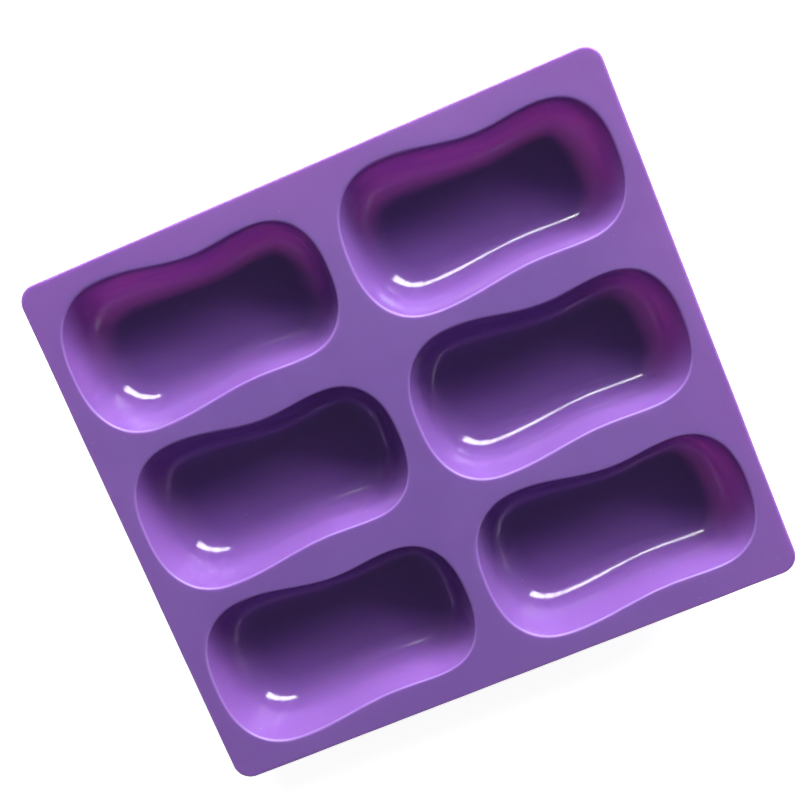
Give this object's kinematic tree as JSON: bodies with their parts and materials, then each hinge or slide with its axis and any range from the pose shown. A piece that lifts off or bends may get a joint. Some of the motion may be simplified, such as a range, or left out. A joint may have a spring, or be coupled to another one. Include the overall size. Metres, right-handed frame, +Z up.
{
  "type": "silicone soap mould",
  "caption": "Flexible silicone mould: a thin flat sheet with waisted, round-ended bar cavities hanging below it, side by side in columns.",
  "frame": {"origin": "centre of the mould's footprint, at the height of the cups' undersides, which it stands on", "axes": "+X along the cavities, towards their small lobes, across the two columns; +Y towards the back row; +Z up, out of the cavities' mouths"},
  "size_m": [0.25, 0.225, 0.0305],
  "materials": {
    "purple_silicone": "moulded purple silicone, satin on the sheet and glossy in the cavities"
  },
  "bodies": {
    "left_column": {"sheet_left": "purple_silicone", "cup_back_left": "purple_silicone", "cup_middle_left": "purple_silicone", "cup_front_left": "purple_silicone"},
    "right_column": {"sheet_right": "purple_silicone", "cup_back_right": "purple_silicone", "cup_middle_right": "purple_silicone", "cup_front_right": "purple_silicone"}
  },
  "joints": [
    {"name": "centre_web_fold", "type": "hinge", "parent": "left_column", "child": "right_column", "pos_m": [0, 0, 0.02925], "axis": [0, -1, 0], "range_deg": [-35, 90], "stiffness_Nm_per_rad": 0.073}
  ]
}
